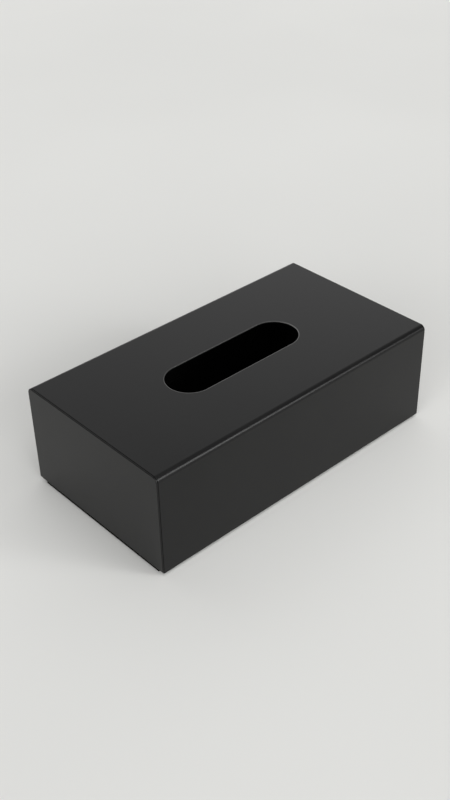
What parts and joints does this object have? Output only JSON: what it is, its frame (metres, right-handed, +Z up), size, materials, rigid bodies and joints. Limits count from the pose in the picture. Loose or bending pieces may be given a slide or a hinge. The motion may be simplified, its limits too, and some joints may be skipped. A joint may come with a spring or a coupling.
{
  "type": "tissue box with drawer",
  "caption": "Low black folded-steel tissue box with a round-ended slot in its top; one end is the front of a full-length drawer that carries the pack of tissues.",
  "frame": {"origin": "on the table under the middle of the box", "axes": "+X along the box from the drawer front to the far end, +Y from the front long wall to the back one, +Z up"},
  "size_m": [0.25, 0.135, 0.08],
  "materials": {
    "black_coat": "matte black powder coat",
    "black_rubber": "dull black rubber",
    "black_nylon": "matte black nylon",
    "bright_plating": "nickel plated",
    "zinc_steel": "zinc plated"
  },
  "bodies": {
    "sleeve": {"sleeve_shell": "black_coat", "far_end_plate": "black_coat", "mouth_tie": "black_coat", "mouth_foot": "black_rubber", "far_foot_front": "black_rubber", "far_foot_back": "black_rubber", "glide_strip_front": "black_nylon", "glide_strip_back": "black_nylon", "drawer_buffer_front": "black_rubber", "drawer_buffer_back": "black_rubber", "catch_housing": "black_nylon", "catch_magnet": "bright_plating"},
    "drawer": {"drawer_tray": "black_coat", "drawer_front": "black_coat", "front_studs": "zinc_steel", "front_washers": "zinc_steel", "front_nuts": "zinc_steel"}
  },
  "joints": [
    {"name": "drawer_slide", "type": "slide", "parent": "sleeve", "child": "drawer", "axis": [-1, 0, 0], "range_m": [0, 0.19]}
  ]
}
